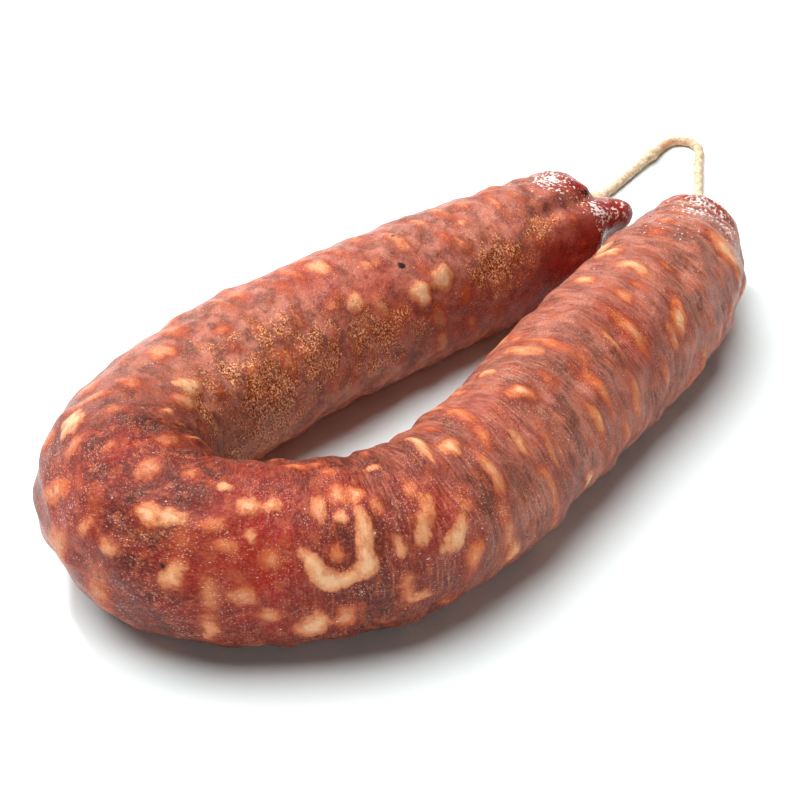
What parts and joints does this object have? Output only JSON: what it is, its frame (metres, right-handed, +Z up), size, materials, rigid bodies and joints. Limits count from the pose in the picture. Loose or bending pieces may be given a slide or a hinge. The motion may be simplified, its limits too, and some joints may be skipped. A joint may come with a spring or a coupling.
{
  "type": "dry-cured sausage bent into a horseshoe",
  "caption": "Dry-cured sausage bent into a horseshoe, each end gathered and tied, with a loose twine from tie to tie to hang it by.",
  "frame": {"origin": "centre of the base of the sausage's bounding box, on the surface that it lies on", "axes": "+Z up, +Y from the bend towards the tied ends, the far leg at -X and the near leg at +X"},
  "size_m": [0.1023, 0.2508, 0.0379],
  "materials": {
    "casing": "thin natural casing, satin, glossy at the tied ends",
    "twine": "matte twisted natural fibre"
  },
  "bodies": {
    "root": {"sausage": "casing", "tie_far": "twine", "tie_near": "twine", "twine_loop": "twine"}
  },
  "joints": []
}
